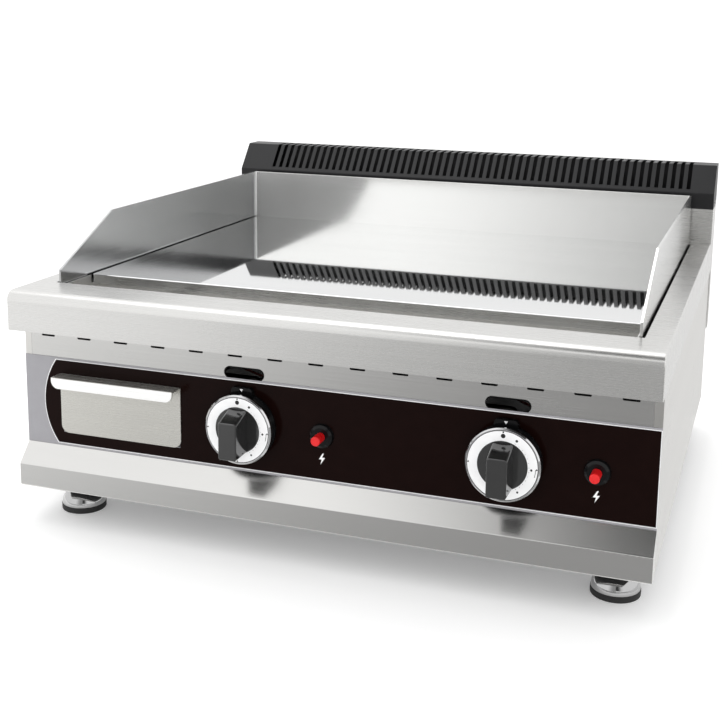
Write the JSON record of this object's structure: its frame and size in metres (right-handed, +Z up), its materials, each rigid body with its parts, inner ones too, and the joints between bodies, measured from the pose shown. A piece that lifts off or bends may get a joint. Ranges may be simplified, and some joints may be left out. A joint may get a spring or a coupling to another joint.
{
  "type": "countertop gas griddle",
  "caption": "Countertop flat top gas griddle with splash guards, slotted flue, pull-out grease drawer, push-and-turn gas knobs, ignition buttons and screw-adjusted feet.",
  "frame": {"origin": "centre of the bounding box in plan, on the surface it stands on", "axes": "+X to the right seen from the front, +Y from the front to the back, +Z up"},
  "size_m": [0.8032, 0.775, 0.428],
  "materials": {
    "casing_steel": "satin brushed stainless steel",
    "splash_steel": "fine brushed stainless steel",
    "mirror_plate": "mirror polished hard chrome",
    "control_panel": "gloss black film with a grey end",
    "flue_paint": "satin dark grey enamel",
    "dial_silver": "satin silver with printed marks",
    "bezel_black": "gloss black",
    "knob_black": "gloss black",
    "button_red": "gloss red",
    "pad_rubber": "matt black",
    "foot_polished": "polished",
    "inner_steel": "plain galvanised",
    "valve_brass": "machined brass",
    "feed_aluminium": "drawn tube",
    "burner_steel": "heat-tinted steel",
    "ceramic": "glazed white ceramic",
    "lead_sleeve": "silicone sleeve",
    "screw_steel": "plated",
    "drawer_steel": "fine brushed stainless steel"
  },
  "bodies": {
    "casing": {"base_pan": "inner_steel", "burner_injectors": "valve_brass", "burner_left": "burner_steel", "burner_rest": "inner_steel", "burner_right": "burner_steel", "casing_screws": "screw_steel", "control_overlay": "control_panel", "drain_chute": "casing_steel", "drawer_runner_left": "inner_steel", "drawer_runner_right": "inner_steel", "feed_pipe_left": "feed_aluminium", "feed_pipe_right": "feed_aluminium", "firebox": "inner_steel", "firebox_rails": "inner_steel", "flue_cover": "flue_paint", "flue_duct": "casing_steel", "foot_sockets": "inner_steel", "front_fascia": "casing_steel", "front_plinth": "casing_steel", "gas_inlet_pipe": "inner_steel", "gas_manifold": "inner_steel", "grease_gutter": "casing_steel", "griddle_plate": "mirror_plate", "hob_top": "casing_steel", "igniter_body_left": "bezel_black", "igniter_body_right": "bezel_black", "ignition_lead_left": "lead_sleeve", "ignition_lead_right": "lead_sleeve", "knob_bezel_left": "bezel_black", "knob_bezel_right": "bezel_black", "rear_panel": "casing_steel", "side_panel_left": "casing_steel", "side_panel_right": "casing_steel", "spark_electrode_left": "ceramic", "spark_electrode_right": "ceramic", "splash_back": "splash_steel", "splash_left": "splash_steel", "splash_right": "splash_steel", "valve_body_left": "valve_brass", "valve_body_right": "valve_brass"},
    "drawer": {"grease_drawer": "casing_steel", "drawer_front": "drawer_steel"},
    "valve_left": {"valve_plug_left": "valve_brass"},
    "dial_left": {"knob_left": "knob_black", "knob_ring_left": "dial_silver", "valve_spindle_left": "valve_brass"},
    "button_left": {"igniter_button_left": "button_red"},
    "valve_right": {"valve_plug_right": "valve_brass"},
    "dial_right": {"knob_right": "knob_black", "knob_ring_right": "dial_silver", "valve_spindle_right": "valve_brass"},
    "button_right": {"igniter_button_right": "button_red"},
    "leg_front_left": {"foot_front_left": "foot_polished", "foot_pad_front_left": "pad_rubber"},
    "leg_front_right": {"foot_front_right": "foot_polished", "foot_pad_front_right": "pad_rubber"},
    "leg_rear_left": {"foot_rear_left": "foot_polished", "foot_pad_rear_left": "pad_rubber"},
    "leg_rear_right": {"foot_rear_right": "foot_polished", "foot_pad_rear_right": "pad_rubber"}
  },
  "joints": [
    {"name": "drawer_slide", "type": "slide", "parent": "casing", "child": "drawer", "axis": [0, -1, 0], "range_m": [0, 0.33]},
    {"name": "gas_turn_left", "type": "hinge", "parent": "casing", "child": "valve_left", "pos_m": [-0.092, -0.3025, 0.162], "axis": [0, -1, 0], "range_deg": [0, 165]},
    {"name": "gas_push_left", "type": "slide", "parent": "valve_left", "child": "dial_left", "axis": [0, 1, 0], "range_m": [0, 0.003], "stiffness_N_per_m": 1500, "springref_m": -0.002},
    {"name": "spark_push_left", "type": "slide", "parent": "casing", "child": "button_left", "axis": [0, 1, 0], "range_m": [0, 0.005], "stiffness_N_per_m": 900, "springref_m": -0.002},
    {"name": "gas_turn_right", "type": "hinge", "parent": "casing", "child": "valve_right", "pos_m": [0.23, -0.3025, 0.162], "axis": [0, -1, 0], "range_deg": [0, 165]},
    {"name": "gas_push_right", "type": "slide", "parent": "valve_right", "child": "dial_right", "axis": [0, 1, 0], "range_m": [0, 0.003], "stiffness_N_per_m": 1500, "springref_m": -0.002},
    {"name": "spark_push_right", "type": "slide", "parent": "casing", "child": "button_right", "axis": [0, 1, 0], "range_m": [0, 0.005], "stiffness_N_per_m": 900, "springref_m": -0.002},
    {"name": "level_front_left", "type": "slide", "parent": "casing", "child": "leg_front_left", "axis": [0, 0, 1], "range_m": [-0.012, 0]},
    {"name": "level_front_right", "type": "slide", "parent": "casing", "child": "leg_front_right", "axis": [0, 0, 1], "range_m": [-0.012, 0]},
    {"name": "level_rear_left", "type": "slide", "parent": "casing", "child": "leg_rear_left", "axis": [0, 0, 1], "range_m": [-0.012, 0]},
    {"name": "level_rear_right", "type": "slide", "parent": "casing", "child": "leg_rear_right", "axis": [0, 0, 1], "range_m": [-0.012, 0]}
  ]
}
